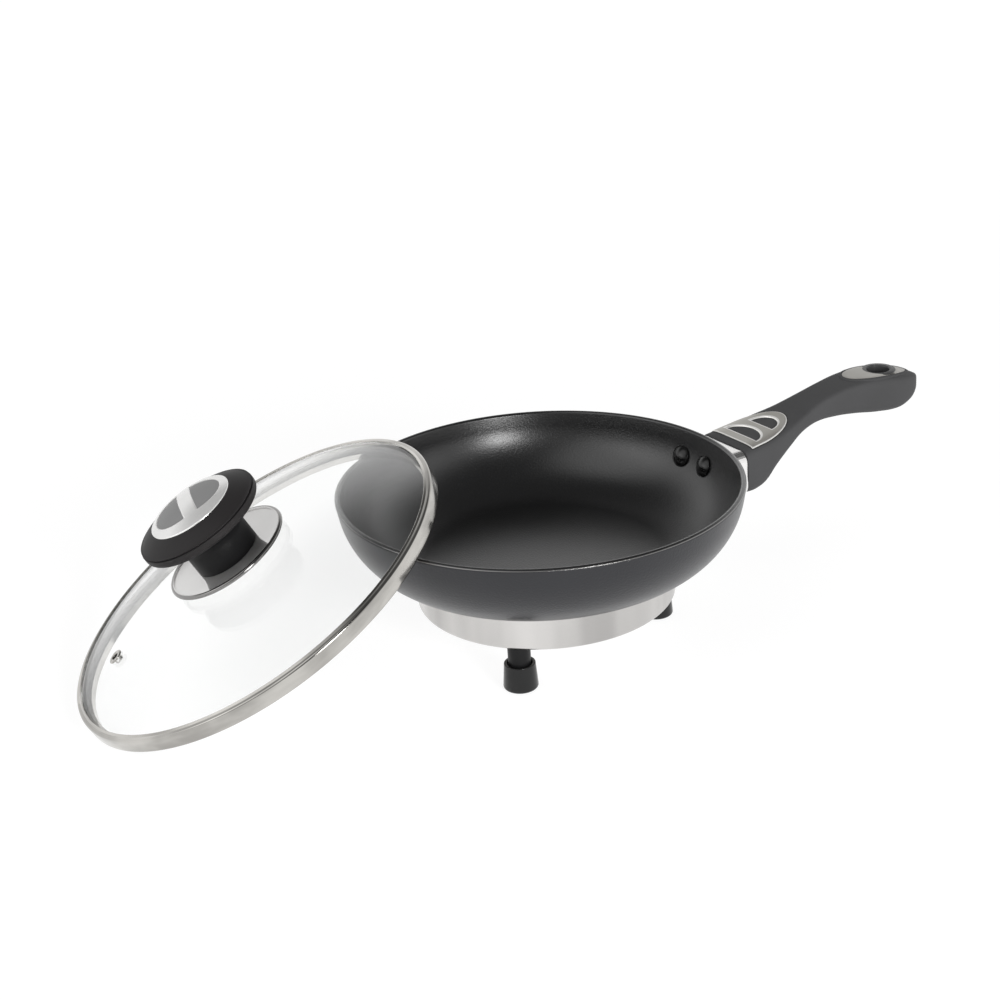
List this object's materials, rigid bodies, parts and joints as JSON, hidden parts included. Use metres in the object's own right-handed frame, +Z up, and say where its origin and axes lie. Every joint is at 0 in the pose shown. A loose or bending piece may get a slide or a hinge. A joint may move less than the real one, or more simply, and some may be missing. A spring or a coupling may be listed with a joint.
{
  "type": "electric skillet",
  "caption": "Round non-stick electric skillet on a steel heating base with legs and rubber boots, a riveted hanging handle and a leaning glass lid with a knob.",
  "frame": {"origin": "on the pan's axis at worktop level, the centre of the three boots", "axes": "+Z up along the pan's axis, +X along the handle, +Y towards the power inlet"},
  "size_m": [0.4979, 0.2557, 0.115],
  "materials": {
    "nonstick": "satin black non-stick inside, graphite outside",
    "bright_steel": "bright",
    "black_coated": "satin black coat",
    "soft_touch": "soft-touch matte",
    "satin_silver": "satin with bright edges",
    "dark_collar": "satin",
    "zinc_steel": "zinc plated",
    "band_steel": "brushed round the band",
    "bare_aluminium": "bare",
    "element_sheath": "heat darkened",
    "mineral_board": "pressed mineral fibre",
    "black_plastic": "moulded",
    "pin_plate": "nickel plated",
    "glass_sleeve": "glass-fibre sleeve",
    "boot_rubber": "glossy",
    "clear_glass": "clear tempered",
    "rim_steel": "polished",
    "polished_steel": "mirror polished",
    "insert_brass": "turned"
  },
  "bodies": {
    "skillet": {"pan": "nonstick", "handle_bracket": "bright_steel", "handle_rivets": "black_coated", "handle_grip": "soft_touch", "handle_inlay": "satin_silver", "handle_ring": "satin_silver", "hanging_eyelet": "dark_collar", "handle_screw": "zinc_steel", "base_cup": "band_steel", "centre_nut": "zinc_steel", "heat_spreader": "bare_aluminium", "heating_element": "element_sheath", "element_clamps": "zinc_steel", "clamp_nuts": "zinc_steel", "insulation_disc": "mineral_board", "inlet_guard": "black_plastic", "terminal_pins": "pin_plate", "thermostat_well": "zinc_steel", "lead_wires": "glass_sleeve", "thermal_fuse": "zinc_steel", "leg_post_1": "black_plastic", "leg_post_2": "black_plastic", "leg_post_3": "black_plastic", "foot_boot_1": "boot_rubber", "foot_boot_2": "boot_rubber", "foot_boot_3": "boot_rubber", "leg_screws": "zinc_steel"},
    "lid": {"lid_glass": "clear_glass", "lid_rim": "rim_steel", "vent_eyelet": "bright_steel", "knob_gasket": "boot_rubber", "knob_dish": "polished_steel", "knob_neck": "black_plastic", "knob_cap": "soft_touch", "knob_inlay": "satin_silver", "knob_insert": "insert_brass", "knob_screw": "zinc_steel", "knob_washer": "zinc_steel"}
  },
  "joints": [
    {"name": "lid_lift", "type": "slide", "parent": "skillet", "child": "lid", "axis": [-0.4638, 0.1462, 0.8738], "range_m": [0, 0.15]}
  ]
}
